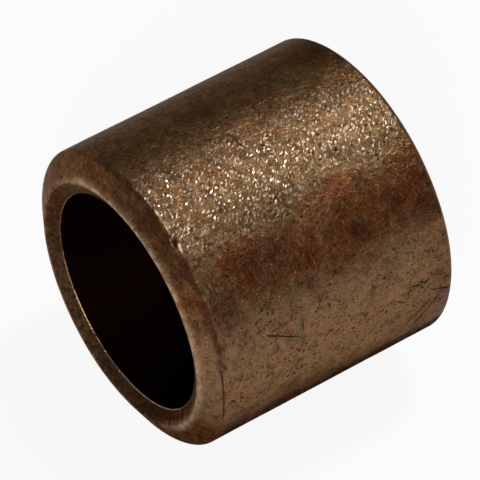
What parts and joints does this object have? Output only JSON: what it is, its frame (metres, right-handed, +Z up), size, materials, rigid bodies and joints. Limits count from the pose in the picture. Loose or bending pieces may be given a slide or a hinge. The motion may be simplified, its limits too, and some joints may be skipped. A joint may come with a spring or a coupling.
{
  "type": "sleeve bushing",
  "caption": "Plain one-piece bronze sleeve bearing with a straight bore, a wide rounded outer chamfer at one end and chamfered bore mouths.",
  "frame": {"origin": "middle of the bore, on the bore's axis, halfway between the two end faces", "axes": "+Y along the bore's axis, from the end with the wide outer chamfer towards the other end; +Z up, with the bushing lying on its side"},
  "size_m": [0.022, 0.02, 0.022],
  "materials": {
    "bronze": "dark, oiled bronze with a fine mottled grain and a dull, sparkling sheen"
  },
  "bodies": {
    "root": {"sleeve": "bronze"}
  },
  "joints": []
}
